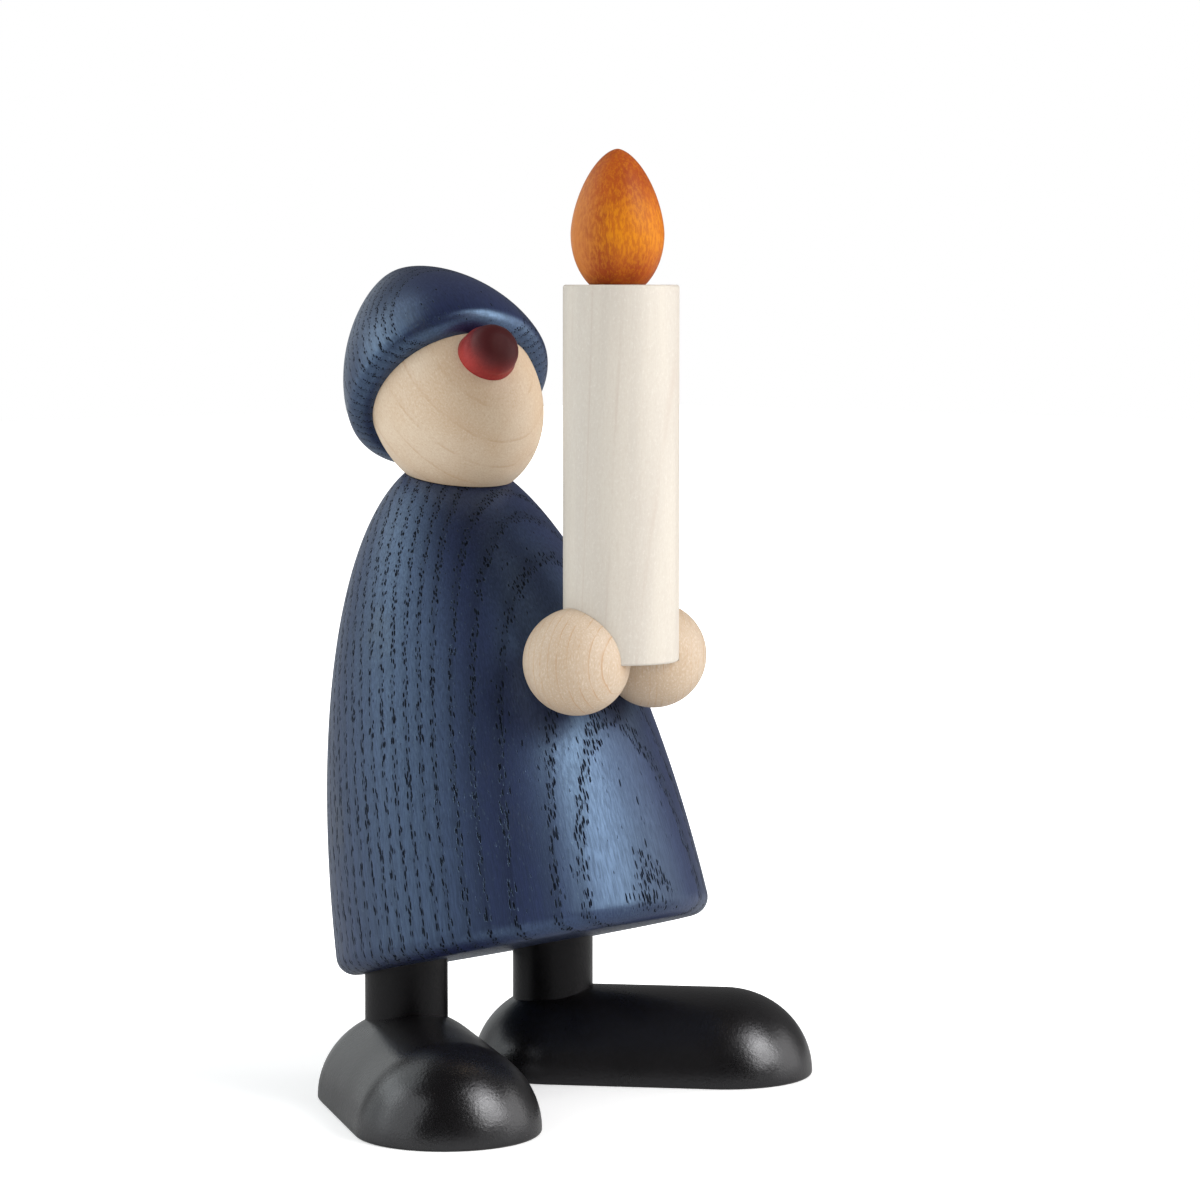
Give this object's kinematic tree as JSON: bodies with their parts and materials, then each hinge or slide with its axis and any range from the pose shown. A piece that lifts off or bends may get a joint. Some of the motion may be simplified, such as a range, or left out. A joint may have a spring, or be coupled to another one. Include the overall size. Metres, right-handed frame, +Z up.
{
  "type": "wooden figurine",
  "caption": "Turned wooden well-wisher in a bell-shaped coat and cap, leaning back on its legs, ball hands holding up a wooden candle; the head turns on a neck dowel.",
  "frame": {"origin": "on the surface it stands on, under the middle of the figure's box", "axes": "+Z up; the figure faces -Y, with its own right hand towards -X"},
  "size_m": [0.1048, 0.0804, 0.17],
  "materials": {
    "blue_ash": "open-pored ash stained blue, satin lacquer",
    "maple": "natural pale maple, satin lacquer",
    "pale_wood": "whitened fine-grained wood, matt lacquer",
    "orange_stain": "maple stained orange, satin lacquer",
    "red_stain": "maple stained dark red, satin lacquer",
    "black_lacquer": "black satin lacquer over wood",
    "beech": "plain beech dowel"
  },
  "bodies": {
    "figure": {"coat": "blue_ash", "right_hand": "maple", "left_hand": "maple", "right_hand_dowel": "beech", "left_hand_dowel": "beech", "candle": "pale_wood", "flame": "orange_stain", "right_leg": "black_lacquer", "left_leg": "black_lacquer", "right_shoe": "black_lacquer", "left_shoe": "black_lacquer"},
    "head": {"head": "maple", "nose": "red_stain", "cap": "blue_ash", "neck_dowel": "beech"}
  },
  "joints": [
    {"name": "head_turn", "type": "hinge", "parent": "figure", "child": "head", "pos_m": [-0.002, 0.01299, 0.11155], "axis": [-0.0437, -0.143, 0.9888], "range_deg": [-110, 120]}
  ]
}
